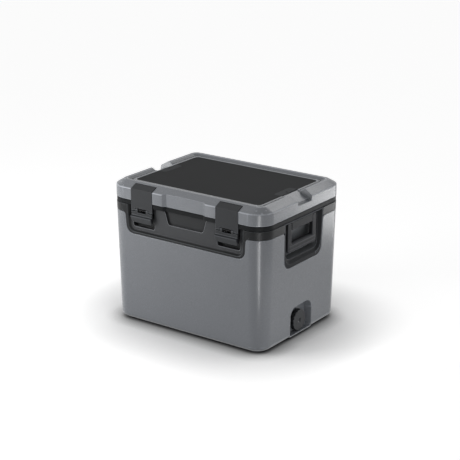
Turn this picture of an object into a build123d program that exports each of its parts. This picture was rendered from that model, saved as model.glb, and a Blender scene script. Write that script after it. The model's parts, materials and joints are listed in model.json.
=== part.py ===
from build123d import *
import math
import os

# Overall sizes of the cooler, in millimetres
lid_width = 470.0
lid_depth = 358.0
corner_radius = 46.0
tub_top = 315.0
wall_draft = 7.0
foot_height = 3.0
foot_radius = 18.0
foot_margin = 66.0
foot_edge = 1.0

# Walls and clearances
shell_wall = 3.0
collar_wall = 4.0
liner_wall = 2.5
side_wall = 36.0
end_wall = 42.0
seam = 0.3
foam_gap = 0.4
pin_gap = 0.08
pin_seat = 0.05
move_gap = 0.7
overlap = 1.0
reach_past = 40.0

# Tub
plinth_height = 3.0
plinth_inset = 13.0
base_fillet = 12.0
cavity_radius = 22.0
cavity_draft = 8.0
cavity_floor = 27.0
cavity_fillet = 10.0
liner_lip_gap = 1.0

# Collar and its recessed front panel
collar_band = 22.0
collar_flange = 4.0
front_margin = 51.0
front_taper = 4.0
front_drop = 75.0
front_corner = 22.0
shoulder_radius = 8.0
panel_recess = 6.0
panel_margin = 11.0
panel_flare = 7.0
panel_flare_run = 8.0
pocket_depth = 10.0
pocket_wall = 3.0
pocket_low = 56.0
pocket_corner = 6.0
lift_top_half = 63.0
lift_low_half = 53.0
lift_drop = 33.5
lift_corner = 9.0
lift_depth = 5.0
core_side = 8.0
core_low = 6.0

# Handle housings
housing_half = 86.0
housing_taper = 3.0
housing_drop = 119.5
housing_corner = 24.0
recess_half = 69.0
recess_depth = 31.0
recess_low = 98.0
recess_corner = 14.0
recess_lid = 3.0
housing_wall = 3.0
bezel_step = 3.5
bezel_depth = 6.0
bezel_flare = 8.0

# Swing handles
handle_outer = 63.4
handle_arm = 16.4
handle_thick = 11.0
handle_set = 5.5
handle_pivot_drop = 12.0
handle_top = 7.0
handle_length = 70.0
grip_height = 22.0
grip_thick = 17.0
grip_proud = 0.6
grip_inset = 6.0
bail_sink = 4.0
handle_top_corner = 5.0
handle_low_corner = 8.0
handle_inner_top = 4.0
handle_inner_low = 6.0
handle_edge = 2.0
handle_pin_cover = 2.5
handle_pin_radius = 3.0
bracket_gap = 1.5
bracket_plate = 6.0
bracket_drop = 14.5
bracket_ear = 9.0
bracket_step = 1.4
bracket_web = 4.0
bracket_corner = 3.0

# Lid
lid_gap = 1.0
frame_height = 12.0
frame_step = 1.0
frame_wall = 12.0
frame_flange = 6.0
band_height = 30.0
rim_rise = 12.5
rim_run_front = 26.0
rim_run_end = 21.0
rim_flat = 6.0
rim_slope = 6.0
rim_corner = 16.0
band_edge = 1.5
crease_radius = 3.0
rim_edge = 1.2
ledge_drop = 4.5
bead_margin = 2.0
bead_width = 3.0
bead_depth = 2.0
bead_turn = 1.0
panel_front = 50.0
panel_end = 45.5
panel_corner = 10.0
panel_thick = 3.0
panel_sink = 0.3
lid_skin = 3.2
lid_front_wall = 29.0
lid_back_wall = 9.0
lid_floor = 3.2
lid_core_radius = 34.0
lid_core_slope = 11.0
lid_core_shoulder = 6.0
lid_core_side = 12.0
lid_core_roof = 4.0
lid_foam_radius = 20.0
lid_foam_inset = 2.0
pan_lip = 8.0
pan_gap = 0.5
plug_gap = 5.0
plug_depth = 14.0
plug_draft = 2.0
plug_fillet = 5.5
gasket_offset = 4.0
gasket_width = 7.0
gasket_seat = 4.0
gasket_gap = 0.2

# Lift recess in the lid front
notch_half = 56.0
notch_slope = 10.5
notch_depth = 5.5
notch_edge = 1.5
notch_reach = 3.0

# Strap channels in the lid ends
channel_low_half = 28.0
channel_top_half = 37.0
channel_drop = 12.0
channel_corner = 5.0
channel_run = 8.5
channel_fall = 5.0
channel_step = 9.5
channel_lip = 3.5
channel_rise = 1.5
channel_mouth = 4.0
channel_over = 5.0
channel_under = 2.0
channel_bend = 3.0
channel_lip_edge = 0.8
channel_step_corner = 1.5
channel_wall = 10.0

# Inlaid end plates of the top panel
inlay_width = 24.0
inlay_half = 36.0
inlay_corner = 9.0
inlay_end_corner = 1.0
inlay_thick = 1.2
inlay_screw_inset = 8.0
inlay_proud = 0.3
inlay_screw_floor = 0.5
inlay_screw_tip = 0.7
inlay_cap = 0.6
inlay_cap_lip = 0.8

# Latches
latch_margin = 105.0
latch_width = 66.0
strap_thick = 7.0
strap_proud = 1.0
strap_cover = 5.6
strap_barrel = 4.4
strap_mouth = 3.2
strap_pin_radius = 2.0
strap_pin_grip = 6.0
strap_edge = 1.2
barrel_inset = 10.0
lever_pin_drop = 9.5
lever_pin_radius = 1.75
lever_gap = 0.6
lever_inset = 1.0
lever_knuckle_half = 20.0
lever_window_half = 13.0
lever_ridge_drop = 26.5
lever_drop = 42.0
lever_thick = 6.0
lever_corner = 8.0
lever_edge = 0.8
lever_window_drop = 2.5
lever_pin_cover = 4.0
lever_foot_in = 0.5
lever_foot_back = 1.5
lever_foot_edge = 1.5
lever_back_slope = 8.0
lever_back_edge = 1.0
ridge_rise = 3.5
ridge_up = 0.5
ridge_down = 1.0
ridge_fillet = 2.0
ridge_edge = 0.6
catch_half = 13.0
catch_drop = 31.0
catch_lift = 1.0
catch_height = 5.0
catch_clear = 0.6
catch_reach = 8.6
keeper_plate = 2.5
keeper_screw_drop = 19.5
keeper_lip = 5.0
keeper_margin = 5.0

# Rear hinges
hinge_reach = 6.0
hinge_barrel = 5.0
hinge_pin_radius = 2.5
hinge_half = 30.0
hinge_knuckle_half = 14.0
hinge_leaf = 3.5
hinge_seat = 2.0
hinge_lid_height = 28.0
hinge_tub_height = 36.0
hinge_lid_drop = 6.0
hinge_margin = 8.0
screw_radius = 2.0
screw_head_radius = 4.0
screw_head = 1.6
screw_offset = 20.0
screw_tip_cover = 0.6
screw_tip_gap = 0.2

# Drain in the right end
drain_height = 39.5
drain_half = 48.0
drain_top = 85.0
drain_low = 11.0
drain_corner = 25.0
drain_foot_corner = 6.0
drain_reach = 4.0
drain_depth = 20.0
drain_draft = 4.5
knob_radius = 27.5
knob_set = 4.0
knob_thick = 11.0
knob_flutes = 16
knob_flute_radius = 3.0
knob_flute_depth = 1.35
knob_edge = 1.5
dimple_radius = 10.0
dimple_depth = 2.5
spigot_radius = 8.9
spigot_inset = 2.0
drain_bore = 9.0
bushing_radius = 12.0
bushing_flange = 18.0
bushing_lip = 2.5
bushing_reach = 2.0
seal_inset = 2.0
nut_radius = 20.0
nut_thick = 4.8
drain_running = 0.3

# Heights and half sizes that follow from them
half_width = lid_width / 2
half_depth = lid_depth / 2
lid_bottom = tub_top + lid_gap
band_bottom = lid_bottom + frame_height
band_top = band_bottom + band_height
rim_top = band_top + rim_rise
ledge_z = rim_top - ledge_drop
panel_z = ledge_z - panel_sink
panel_floor = panel_z - panel_thick
lid_ceiling = panel_floor - lid_floor
shell_bottom = foot_height + plinth_height
collar_low = tub_top - collar_band
cavity_x = half_width - end_wall
cavity_y = half_depth - side_wall
flange_z = tub_top - collar_flange
front_half = half_width - front_margin
latch_offset = half_width - latch_margin
latch_centres = (-latch_offset, latch_offset)


def wall_inset(z):
    """Inset of the drafted tub wall from the lid outline at a height."""
    return wall_draft * (band_bottom - z) / band_bottom


def box(x0, x1, y0, y1, z0, z1):
    middle = Pos((x0 + x1) / 2, (y0 + y1) / 2, (z0 + z1) / 2)
    return middle * Box(x1 - x0, y1 - y0, z1 - z0)


def rod_x(radius, x0, x1, y, z):
    return Pos((x0 + x1) / 2, y, z) * Rot(0, 90, 0) * Cylinder(radius, x1 - x0)


def rod_y(radius, y0, y1, x, z):
    return Pos(x, (y0 + y1) / 2, z) * Rot(90, 0, 0) * Cylinder(radius, y1 - y0)


def outline(points, radii):
    return make_face(FilletPolyline(*points, radius=radii, close=True).edges())


def front_plane(y):
    return Plane(origin=(0, y, 0), x_dir=(1, 0, 0), z_dir=(0, -1, 0))


def end_plane(x):
    return Plane(origin=(x, 0, 0), x_dir=(0, 1, 0), z_dir=(1, 0, 0))


def front_prism(face, y_back, y_front):
    return extrude(front_plane(y_back) * face, y_back - y_front)


def end_prism(face, x_in, x_out):
    return extrude(end_plane(x_in) * face, x_out - x_in)


def plate(half_x, half_y, radius, z):
    return Pos(0, 0, z) * RectangleRounded(2 * half_x, 2 * half_y, radius)


def slab(half_x, half_y, radius, z0, z1):
    return extrude(plate(half_x, half_y, radius, z0), z1 - z0)


def drafted(half_x, half_y, radius, z0, z1, spread):
    """Rounded block whose walls lean outwards by a spread over its height."""
    lean = math.degrees(math.atan2(spread, z1 - z0))
    return extrude(plate(half_x, half_y, radius, z0), z1 - z0, taper=-lean)


def wall_block(inset, z0, z1):
    """Block inside the drafted tub wall, at an inset from its outside."""
    low = inset + wall_inset(z0)
    spread = wall_inset(z0) - wall_inset(z1)
    return drafted(half_width - low, half_depth - low, corner_radius - low, z0, z1, spread)


def lid_slab(inset, z0, z1):
    return slab(half_width - inset, half_depth - inset, corner_radius - inset, z0, z1)


def mirrored(shape):
    return mirror(shape, about=Plane.YZ)


def wall_x(z):
    return half_width - wall_inset(z)


# Outlines shared by the tub, the collar and the housings
def front_outline(grow):
    low = tub_top - front_drop - grow
    top_x = front_half + grow
    low_x = front_half - front_taper + grow
    over = top_x + 3 * shoulder_radius
    shoulder = collar_low - grow
    points = [
        (-over, tub_top + reach_past),
        (-over, shoulder),
        (-top_x, shoulder),
        (-low_x, low),
        (low_x, low),
        (top_x, shoulder),
        (over, shoulder),
        (over, tub_top + reach_past),
    ]
    radii = [0, 0, shoulder_radius, front_corner, front_corner, shoulder_radius, 0, 0]
    return outline(points, radii)


def housing_outline(grow, shoulders):
    low = tub_top - housing_drop - grow
    top_y = housing_half + grow
    low_y = housing_half - housing_taper + grow
    lower = [(-low_y, low), (low_y, low)]
    if not shoulders:
        points = [(-top_y, tub_top + reach_past)] + lower + [(top_y, tub_top + reach_past)]
        return outline(points, [0, housing_corner, housing_corner, 0])
    shoulder = collar_low - grow
    over = top_y + 3 * shoulder_radius
    left = [(-over, tub_top + reach_past), (-over, shoulder), (-top_y, shoulder)]
    right = [(top_y, shoulder), (over, shoulder), (over, tub_top + reach_past)]
    corner = [housing_corner, housing_corner]
    radii = [0, 0, shoulder_radius] + corner + [shoulder_radius, 0, 0]
    return outline(left + lower + right, radii)


def hinge_outline(centre, grow):
    half = hinge_half + hinge_margin + grow
    low = tub_top - hinge_tub_height - 2 * hinge_margin - grow
    points = [
        (centre - half, tub_top - hinge_barrel),
        (centre - half, low),
        (centre + half, low),
        (centre + half, tub_top - hinge_barrel),
    ]
    return outline(points, [0, hinge_margin, hinge_margin, 0])


def drain_outline(grow, wall):
    half = drain_half + grow + wall
    low = drain_low - wall
    top = drain_top + grow + wall
    points = [(-half, low), (half, low), (half, top), (-half, top)]
    return outline(points, [drain_foot_corner, drain_foot_corner, drain_corner, drain_corner])


drain_face_x = wall_x(drain_height)
drain_back_x = drain_face_x - drain_depth


def drain_pocket(wall):
    """Tapered pocket of the drain, grown by a wall."""
    mouth = half_width + drain_reach
    flare = drain_draft * (mouth - drain_face_x) / drain_depth
    inner = end_plane(drain_back_x - wall) * drain_outline(-drain_draft, wall)
    outer = end_plane(mouth) * drain_outline(flare, wall)
    return loft([inner, outer], ruled=True)


def make_outer_shell():
    outside = wall_block(0, shell_bottom, collar_low - seam)
    outside = fillet(outside.faces().sort_by(Axis.Z)[0].edges(), base_fillet)
    base_inset = plinth_inset + wall_inset(shell_bottom)
    plinth = lid_slab(base_inset, foot_height, shell_bottom + overlap)
    inside = wall_block(shell_wall, shell_bottom + shell_wall, tub_top)
    bottom_edges = inside.faces().sort_by(Axis.Z)[0].edges()
    inside = fillet(bottom_edges, base_fillet - shell_wall)
    shell = outside + plinth - inside
    inner = wall_block(overlap / 2, shell_bottom + overlap, collar_low)
    pocket = drain_pocket(shell_wall) & inner
    shell = shell + pocket - drain_pocket(0)
    bore = bushing_radius + pin_seat
    shell -= rod_x(bore, drain_back_x - drain_depth, drain_face_x, 0, drain_height)
    deep_y = half_depth - reach_past
    near_y = half_depth + reach_past
    shell -= front_prism(front_outline(seam), -deep_y, -near_y)
    deep_x = half_width - reach_past
    ends = end_prism(housing_outline(seam, True), deep_x, half_width + reach_past)
    shell = shell - ends - mirrored(ends)
    for centre in latch_centres:
        shell -= front_prism(hinge_outline(centre, seam), near_y, deep_y)
    return shell


# Front panel planes of the collar
panel_y = -(half_depth - wall_inset(tub_top - front_drop) - panel_recess)
pocket_y = panel_y + pocket_depth
collar_back_y = pocket_y + pocket_wall


def panel_recess_cut():
    def face(grow):
        low = tub_top - front_drop + panel_margin - grow
        top_x = front_half - front_taper / 2 - panel_margin + grow
        low_x = front_half - front_taper - panel_margin + grow
        points = [
            (-top_x, tub_top + reach_past),
            (-low_x, low),
            (low_x, low),
            (top_x, tub_top + reach_past),
        ]
        corner = front_corner - panel_margin + grow
        return outline(points, [0, corner, corner, 0])

    deep = front_plane(panel_y) * face(0)
    reach = 2 * panel_recess
    near = front_plane(panel_y - reach) * face(panel_flare * reach / panel_flare_run)
    return loft([deep, near], ruled=True)


def lift_recess_cut():
    low = tub_top - lift_drop
    rim = tub_top + lid_gap / 2
    over = lift_top_half + 2 * lift_corner
    points = [
        (-over, tub_top + reach_past),
        (-over, rim),
        (-lift_top_half, rim),
        (-lift_low_half, low),
        (lift_low_half, low),
        (lift_top_half, rim),
        (over, rim),
        (over, tub_top + reach_past),
    ]
    face = outline(points, [0, 0, lift_corner, lift_corner, lift_corner, lift_corner, 0, 0])
    return front_prism(face, panel_y + lift_depth, panel_y - reach_past)


def latch_pocket_cut(centre):
    half = latch_width / 2 + move_gap
    low = tub_top - pocket_low
    points = [
        (centre - half, tub_top + reach_past),
        (centre - half, low),
        (centre + half, low),
        (centre + half, tub_top + reach_past),
    ]
    face = outline(points, [0, pocket_corner, pocket_corner, 0])
    return front_prism(face, pocket_y, panel_y - reach_past)


# Rear hinge axis, shared by the collar, the lid and the hinge leaves
hinge_y = half_depth + hinge_reach - hinge_barrel
hinge_z = tub_top + lid_gap / 2
seat_y = half_depth - hinge_seat
hinge_lid_top = band_bottom - hinge_lid_drop + hinge_lid_height


def hinge_clear_cut(centre):
    half = hinge_half + move_gap
    return rod_x(hinge_barrel + move_gap, centre - half, centre + half, hinge_y, hinge_z)


def hinge_tub_seat(centre):
    half = hinge_half + seam
    low = tub_top - hinge_tub_height - hinge_margin
    back = half_depth + reach_past
    return box(centre - half, centre + half, seat_y, back, low, tub_top + overlap)


def hinge_lid_seat(centre):
    half = hinge_half + seam
    back = half_depth + reach_past
    low = lid_bottom - overlap
    return box(centre - half, centre + half, seat_y, back, low, hinge_lid_top + seam)


tub_screw_z = tub_top - hinge_tub_height
lid_screw_z = band_bottom + hinge_lid_height / 2
keeper_screw_z = tub_top - keeper_screw_drop
keeper_screw_tip = collar_back_y - screw_tip_cover
tub_screw_tip = half_depth - wall_inset(tub_screw_z) - collar_wall + screw_tip_cover
lid_screw_tip = half_depth - lid_back_wall + overlap


def tub_hinge_screw_holes(radius):
    back = half_depth + reach_past
    holes = []
    for centre in latch_centres:
        for side in (-screw_offset, screw_offset):
            holes.append(rod_y(radius, tub_screw_tip, back, centre + side, tub_screw_z))
    return holes


def lid_hinge_screw_holes(radius):
    back = half_depth + reach_past
    holes = []
    for centre in latch_centres:
        for side in (-screw_offset, screw_offset):
            holes.append(rod_y(radius, lid_screw_tip, back, centre + side, lid_screw_z))
    return holes


def keeper_screw_holes(radius):
    near = pocket_y - reach_past
    holes = []
    for centre in latch_centres:
        for side in (-catch_half, catch_half):
            place = centre + side
            holes.append(rod_y(radius, near, keeper_screw_tip, place, keeper_screw_z))
    return holes


def make_collar_frame():
    low = tub_top - housing_drop
    skin = wall_block(0, low, tub_top) - wall_block(collar_wall, low - overlap, flange_z)
    near_y = half_depth + reach_past
    zone = box(-half_width, half_width, -near_y, near_y, collar_low, tub_top + overlap)
    for centre in latch_centres:
        zone += front_prism(hinge_outline(centre, 0), near_y, half_depth - reach_past)
    collar = skin & zone
    front = wall_block(0, low, tub_top)
    front &= front_prism(front_outline(0), collar_back_y, -near_y)
    collar += front
    collar -= slab(cavity_x, cavity_y, cavity_radius, low, tub_top + overlap)
    near_x = half_width + reach_past
    ends = end_prism(housing_outline(seam, False), housing_back - seam, near_x)
    collar = collar - ends - mirrored(ends)
    collar -= panel_recess_cut()
    collar -= lift_recess_cut()
    for centre in latch_centres:
        collar -= latch_pocket_cut(centre)
        collar -= hinge_clear_cut(centre)
        collar -= hinge_tub_seat(centre)
    for hole in tub_hinge_screw_holes(screw_radius + pin_seat):
        collar -= hole
    for hole in keeper_screw_holes(screw_radius + pin_seat):
        collar -= hole
    core_half = latch_offset - latch_width / 2 - core_side
    core_top = tub_top - lift_drop - collar_wall
    core_floor = tub_top - front_drop + core_low
    core_y = panel_y + collar_wall
    return collar - box(-core_half, core_half, core_y, 0, core_floor, core_top)


# Handle housing and bracket at the right end
recess_back = half_width - recess_depth
housing_back = recess_back - housing_wall
recess_ceiling = tub_top - recess_lid
bezel_x = wall_x(tub_top - recess_low) - bezel_depth
bezel_back = bezel_x - housing_wall
pivot_z = tub_top - handle_pivot_drop
handle_face = wall_x(pivot_z) - handle_set
pivot_x = handle_face - handle_thick / 2
bracket_barrel = handle_thick / 2


def recess_outline(grow, top):
    half = recess_half + grow
    low = tub_top - recess_low - grow
    points = [(-half, top), (-half, low), (half, low), (half, top)]
    return outline(points, [0, recess_corner + grow, recess_corner + grow, 0])


def make_handle_housing():
    low = tub_top - housing_drop - overlap
    near_x = half_width + reach_past
    whole = wall_block(0, low, tub_top)
    skin = whole - wall_block(collar_wall, low - overlap, tub_top + overlap)
    skin &= end_prism(housing_outline(0, False), housing_back, near_x)
    cup = end_prism(recess_outline(housing_wall, tub_top), housing_back, near_x)
    rim = recess_outline(bezel_step + bezel_flare, tub_top)
    backing = end_prism(rim, bezel_back, near_x)
    housing = skin + (cup & whole) + (backing & whole)
    housing -= end_prism(recess_outline(0, recess_ceiling), recess_back, near_x)
    reach = 2 * bezel_depth
    step = recess_outline(bezel_step, recess_ceiling)
    flare = recess_outline(bezel_step + bezel_flare * reach / bezel_depth, recess_ceiling)
    flared = loft([end_plane(bezel_x) * step, end_plane(bezel_x + reach) * flare], ruled=True)
    return housing - flared


def make_handle_bracket():
    half = handle_outer - handle_arm - bracket_gap
    low = pivot_z - bracket_drop
    face = box(handle_face - bracket_plate, handle_face, -half, half, low, pivot_z + handle_top)
    barrel = rod_y(bracket_barrel, -half, half, pivot_x, pivot_z)
    web_half = half - bracket_web
    web_low = pivot_z - bracket_web
    web = box(recess_back, pivot_x, -web_half, web_half, web_low, pivot_z + bracket_web)
    bracket = face + barrel + web
    bracket -= rod_y(handle_pin_radius + pin_seat, -handle_outer, handle_outer, pivot_x, pivot_z)
    step = half - bracket_ear
    top = pivot_z + handle_top
    near_x = handle_face + overlap
    bracket -= box(pivot_x, near_x, -step, step, top - bracket_step, top + overlap)
    corners = bracket.edges().filter_by(Axis.X).group_by(Axis.Z)[0]
    return fillet(corners, bracket_corner)


handle_pin_half = handle_outer - handle_pin_cover


def make_handle_pin():
    return rod_y(handle_pin_radius, -handle_pin_half, handle_pin_half, pivot_x, pivot_z)


def make_handle():
    inner = handle_outer - handle_arm
    grip_low = pivot_z - handle_length
    arm_top = pivot_z + handle_top
    back = handle_face - handle_thick
    bail_low = grip_low + grip_height - bail_sink
    bail = [
        (-handle_outer, arm_top),
        (-handle_outer, grip_low),
        (handle_outer, grip_low),
        (handle_outer, arm_top),
        (inner, arm_top),
        (inner, bail_low),
        (-inner, bail_low),
        (-inner, arm_top),
    ]
    outside = [handle_top_corner, handle_low_corner, handle_low_corner, handle_top_corner]
    inside = [handle_inner_top, handle_inner_low, handle_inner_low, handle_inner_top]
    handle = end_prism(outline(bail, outside + inside), back, handle_face)
    handle = fillet(handle.faces().sort_by(Axis.X)[-1].edges(), handle_edge)
    round_top = (handle_thick - overlap) / 2
    profile = [
        (back, grip_low - overlap),
        (handle_face, grip_low - overlap),
        (handle_face, arm_top),
        (back, arm_top),
    ]
    side = outline(profile, [0, 0, round_top, round_top])
    reach = handle_outer + overlap
    handle &= extrude(front_plane(reach) * side, 2 * reach)
    grip_x = handle_face + grip_proud - grip_thick / 2
    grip_face = RectangleRounded(grip_thick, grip_height, grip_thick / 2 - overlap)
    grip_face = Pos(grip_x, grip_low + grip_height / 2) * grip_face
    grip_half = handle_outer - grip_inset
    handle += extrude(front_plane(grip_half) * grip_face, 2 * grip_half)
    bore_half = handle_pin_half + seam
    return handle - rod_y(handle_pin_radius + pin_gap, -bore_half, bore_half, pivot_x, pivot_z)


def liner_x(z):
    """Inside of the liner's end wall at a height."""
    share = (z - cavity_floor) / (flange_z - cavity_floor)
    return cavity_x - cavity_draft * (1 - share)


def liner_block(grow):
    """Drafted block of the cold space, grown by a wall."""
    low = grow - cavity_draft
    floor = cavity_floor - grow
    half_x = cavity_x + low
    half_y = cavity_y + low
    block = drafted(half_x, half_y, cavity_radius + low, floor, flange_z, cavity_draft)
    return fillet(block.faces().sort_by(Axis.Z)[0].edges(), cavity_fillet + grow)


def make_inner_liner():
    lip = housing_back - seam - liner_lip_gap - cavity_x
    flange = slab(
        cavity_x + lip, cavity_y + lip, cavity_radius + lip, flange_z - liner_wall, flange_z
    )
    liner = liner_block(liner_wall) + flange - liner_block(0)
    bore = bushing_radius + pin_seat
    return liner - rod_x(bore, cavity_x - reach_past, cavity_x + reach_past, 0, drain_height)


def make_body_insulation():
    inset = collar_wall + foam_gap
    top = flange_z - liner_wall - foam_gap
    foam = wall_block(inset, shell_bottom + shell_wall + foam_gap, top)
    bottom_edges = foam.faces().sort_by(Axis.Z)[0].edges()
    foam = fillet(bottom_edges, base_fillet - shell_wall)
    foam -= liner_block(liner_wall + foam_gap)
    near_y = half_depth + reach_past
    foam -= front_prism(front_outline(foam_gap), collar_back_y + foam_gap, -near_y)
    cup_half = recess_half + housing_wall + foam_gap
    cup_low = tub_top - recess_low - housing_wall - foam_gap
    cup = box(housing_back - foam_gap, half_width, -cup_half, cup_half, cup_low, tub_top)
    rim_half = recess_half + bezel_step + bezel_flare + foam_gap
    rim_low = tub_top - recess_low - bezel_step - bezel_flare - foam_gap
    cup += box(bezel_back - foam_gap, half_width, -rim_half, rim_half, rim_low, tub_top)
    foam = foam - cup - mirrored(cup)
    pocket = drain_pocket(shell_wall + foam_gap)
    foam -= pocket
    foam -= rod_x(bushing_radius + foam_gap, cavity_x - reach_past, half_width, 0, drain_height)
    nut_low = nut_x - nut_thick - foam_gap
    foam -= rod_x(nut_radius + overlap, nut_low, half_width, 0, drain_height)
    return foam


# Latch keeper in its pocket, and its screws
catch_top = tub_top - catch_drop
catch_tip_y = pocket_y - catch_reach


def make_latch_keeper(centre):
    plate_y = pocket_y - keeper_plate
    half = catch_half + keeper_margin
    top = keeper_screw_z + keeper_margin
    low = catch_top + catch_lift
    keeper = box(centre - half, centre + half, plate_y, pocket_y, low - keeper_margin, top)
    lip = catch_half
    sunk_y = plate_y + overlap / 2
    keeper += box(centre - lip, centre + lip, catch_tip_y, sunk_y, low, low + keeper_lip)
    for hole in keeper_screw_holes(screw_radius + pin_seat):
        keeper -= hole
    return keeper


def screw(shank, head_y0, head_y1, x, z):
    return shank + rod_y(screw_head_radius, head_y0, head_y1, x, z)


def make_keeper_screws():
    seat = pocket_y - keeper_plate
    sunk_y = seat - overlap / 2
    screws = []
    for centre in latch_centres:
        for side in (-catch_half, catch_half):
            place = centre + side
            shank = rod_y(screw_radius, sunk_y, keeper_screw_tip, place, keeper_screw_z)
            screws.append(screw(shank, seat - screw_head, seat, place, keeper_screw_z))
    return Compound(children=screws)


def make_feet():
    x = half_width - foot_margin
    y = half_depth - foot_margin
    feet = []
    for sx in (-1, 1):
        for sy in (-1, 1):
            foot = Pos(sx * x, sy * y, foot_height / 2) * Cylinder(foot_radius, foot_height)
            feet.append(chamfer(foot.faces().sort_by(Axis.Z)[0].edges(), foot_edge))
    return Compound(children=feet)


# Drain pieces along one axis
nut_x = drain_back_x - shell_wall
knob_back = drain_face_x - knob_set - knob_thick


def make_drain_bushing():
    start = liner_x(drain_height) - bushing_reach
    tube = rod_x(bushing_radius, start, drain_back_x + overlap, 0, drain_height)
    lip_end = drain_back_x + bushing_lip
    tube += rod_x(bushing_flange, drain_back_x, lip_end, 0, drain_height)
    return tube - rod_x(drain_bore, start - overlap, lip_end + overlap, 0, drain_height)


def make_drain_nut():
    nut = end_plane(nut_x - nut_thick) * RegularPolygon(nut_radius, 6)
    nut = Pos(0, 0, drain_height) * extrude(nut, nut_thick)
    bore = bushing_radius + pin_seat
    return nut - rod_x(bore, nut_x - 2 * nut_thick, nut_x + overlap, 0, drain_height)


def make_drain_seal():
    start = drain_back_x + bushing_lip + drain_running
    end = knob_back - drain_running
    seal = rod_x(bushing_flange - seal_inset, start, end, 0, drain_height)
    bore = spigot_radius + drain_running
    return seal - rod_x(bore, start - overlap, end + overlap, 0, drain_height)


def make_drain_knob():
    face = knob_back + knob_thick
    knob = rod_x(knob_radius, knob_back, face, 0, drain_height)
    knob = chamfer(knob.faces().sort_by(Axis.X)[-1].edges(), knob_edge)
    reach = knob_radius + knob_flute_radius - knob_flute_depth
    for index in range(knob_flutes):
        angle = 2 * math.pi * index / knob_flutes
        y = reach * math.cos(angle)
        z = drain_height + reach * math.sin(angle)
        knob -= rod_x(knob_flute_radius, knob_back - overlap, face + overlap, y, z)
    knob -= Pos(face + dimple_radius - dimple_depth, 0, drain_height) * Sphere(dimple_radius)
    start = liner_x(drain_height) + spigot_inset
    return knob + rod_x(spigot_radius, start, knob_back + overlap, 0, drain_height)


# Lid
frame_x = half_width - frame_step
plug_x = cavity_x - plug_gap
plug_y = cavity_y - plug_gap
plug_radius = cavity_radius - plug_gap


def lift_notch_cut():
    wide = notch_half + notch_slope * notch_reach
    deep = -half_depth + notch_depth
    near = deep - notch_depth * notch_reach
    points = [(-wide, near), (-notch_half, deep), (notch_half, deep), (wide, near)]
    face = outline(points, [0, notch_edge, notch_edge, 0])
    return extrude(Pos(0, 0, lid_bottom - overlap) * face, rim_top - lid_bottom)


# Strap line over the lid front: bend, chamfer direction and barrel centre
chamfer_length = math.hypot(rim_run_front, rim_rise)
run_y = rim_run_front / chamfer_length
run_z = rim_rise / chamfer_length
strap_front = -half_depth - strap_proud
strap_back = strap_front + strap_thick
lever_pin_y = strap_front + strap_thick / 2
lever_pin_z = tub_top - lever_pin_drop


def strap_line(offset, y):
    """Height of the line parallel to the front chamfer at an inward offset."""
    base_y = -half_depth + offset * run_z
    base_z = band_top - offset * run_y
    return base_z + (y - base_y) * run_z / run_y


barrel_top_y = -half_depth + rim_run_front - barrel_inset
barrel_y = barrel_top_y + (strap_barrel - strap_proud) * run_z
barrel_z = strap_line(-strap_proud, barrel_top_y - strap_proud * run_z)
barrel_z -= strap_barrel * run_y


def strap_section(grow):
    """Side section of the strap; grow widens it inwards for the seat in the lid."""
    back = strap_back + grow
    cover = strap_cover - strap_proud + grow
    if grow:
        low = tub_top - reach_past
        front = strap_front - reach_past
        top_y = barrel_y + strap_mouth
        upper = [(front, rim_top + reach_past), (top_y, rim_top + reach_past)]
    else:
        low = lever_pin_z
        front = strap_front
        top_y = barrel_y
        upper = [
            (front, strap_line(-strap_proud, front)),
            (top_y, strap_line(-strap_proud, top_y)),
        ]
    lower = [(top_y, strap_line(cover, top_y)), (back, strap_line(cover, back))]
    points = [(back, low), (front, low)] + upper + lower
    return outline(points, [0] * len(points))


def strap_seat_cut(centre):
    half = latch_width / 2 + move_gap
    cut = end_prism(strap_section(move_gap), centre - half, centre + half)
    sweep = strap_barrel / run_y + move_gap
    return cut + rod_x(sweep, centre - half, centre + half, barrel_y, barrel_z)


def strap_pin_hole(centre, radius):
    reach = latch_width / 2 + move_gap + strap_pin_grip
    return rod_x(radius, centre - reach, centre + reach, barrel_y, barrel_z)


panel_x = half_width - panel_end
channel_back = panel_x - lid_skin


def channel_cut():
    """Strap channel through the right end of the lid rim."""
    low = band_top - channel_drop
    mid = half_width - channel_step
    step_top = low + channel_lip + channel_rise
    start = panel_x - overlap
    mouth = half_width + channel_mouth
    over = rim_top + channel_over
    floor = [
        (start, over),
        (start, panel_z - panel_sink),
        (panel_x + channel_run, ledge_z - channel_fall),
        (mid, step_top),
        (mid, step_top - channel_lip),
        (mouth, low),
        (mouth, over),
    ]
    bends = [0, 0, channel_bend, channel_lip_edge, channel_step_corner, 0, 0]
    along = extrude(front_plane(half_depth) * outline(floor, bends), lid_depth)
    walls = [
        (-channel_low_half, low - channel_under),
        (channel_low_half, low - channel_under),
        (channel_top_half, over),
        (-channel_top_half, over),
    ]
    gate = outline(walls, [channel_corner, channel_corner, 0, 0])
    return along & end_prism(gate, panel_x - reach_past, half_width + reach_past)


def lid_cavity():
    y0 = -half_depth + lid_front_wall
    y1 = half_depth - lid_back_wall
    middle = Pos(0, (y0 + y1) / 2, 0)
    half_y = (y1 - y0) / 2
    half_x = half_width - lid_skin
    shoulder = band_top - lid_core_shoulder
    step = lid_core_slope
    radius = lid_core_radius
    low = slab(half_x, half_y, radius, band_bottom - overlap, shoulder)
    near = plate(half_x, half_y, radius, shoulder)
    far = plate(half_x - step, half_y - step, radius - step, lid_ceiling)
    cavity = middle * (low + loft([near, far], ruled=True))
    block_half = channel_top_half + channel_wall
    block = box(channel_back, half_width, -block_half, block_half, lid_bottom, rim_top)
    return cavity - block - mirrored(block)


def level_edges(shape, height):
    """Edges that lie flat at a height."""
    edges = shape.edges().filter_by_position(Axis.Z, height - seam / 10, height + seam / 10)
    return edges.filter_by(lambda edge: edge.bounding_box().size.Z < seam)


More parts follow.
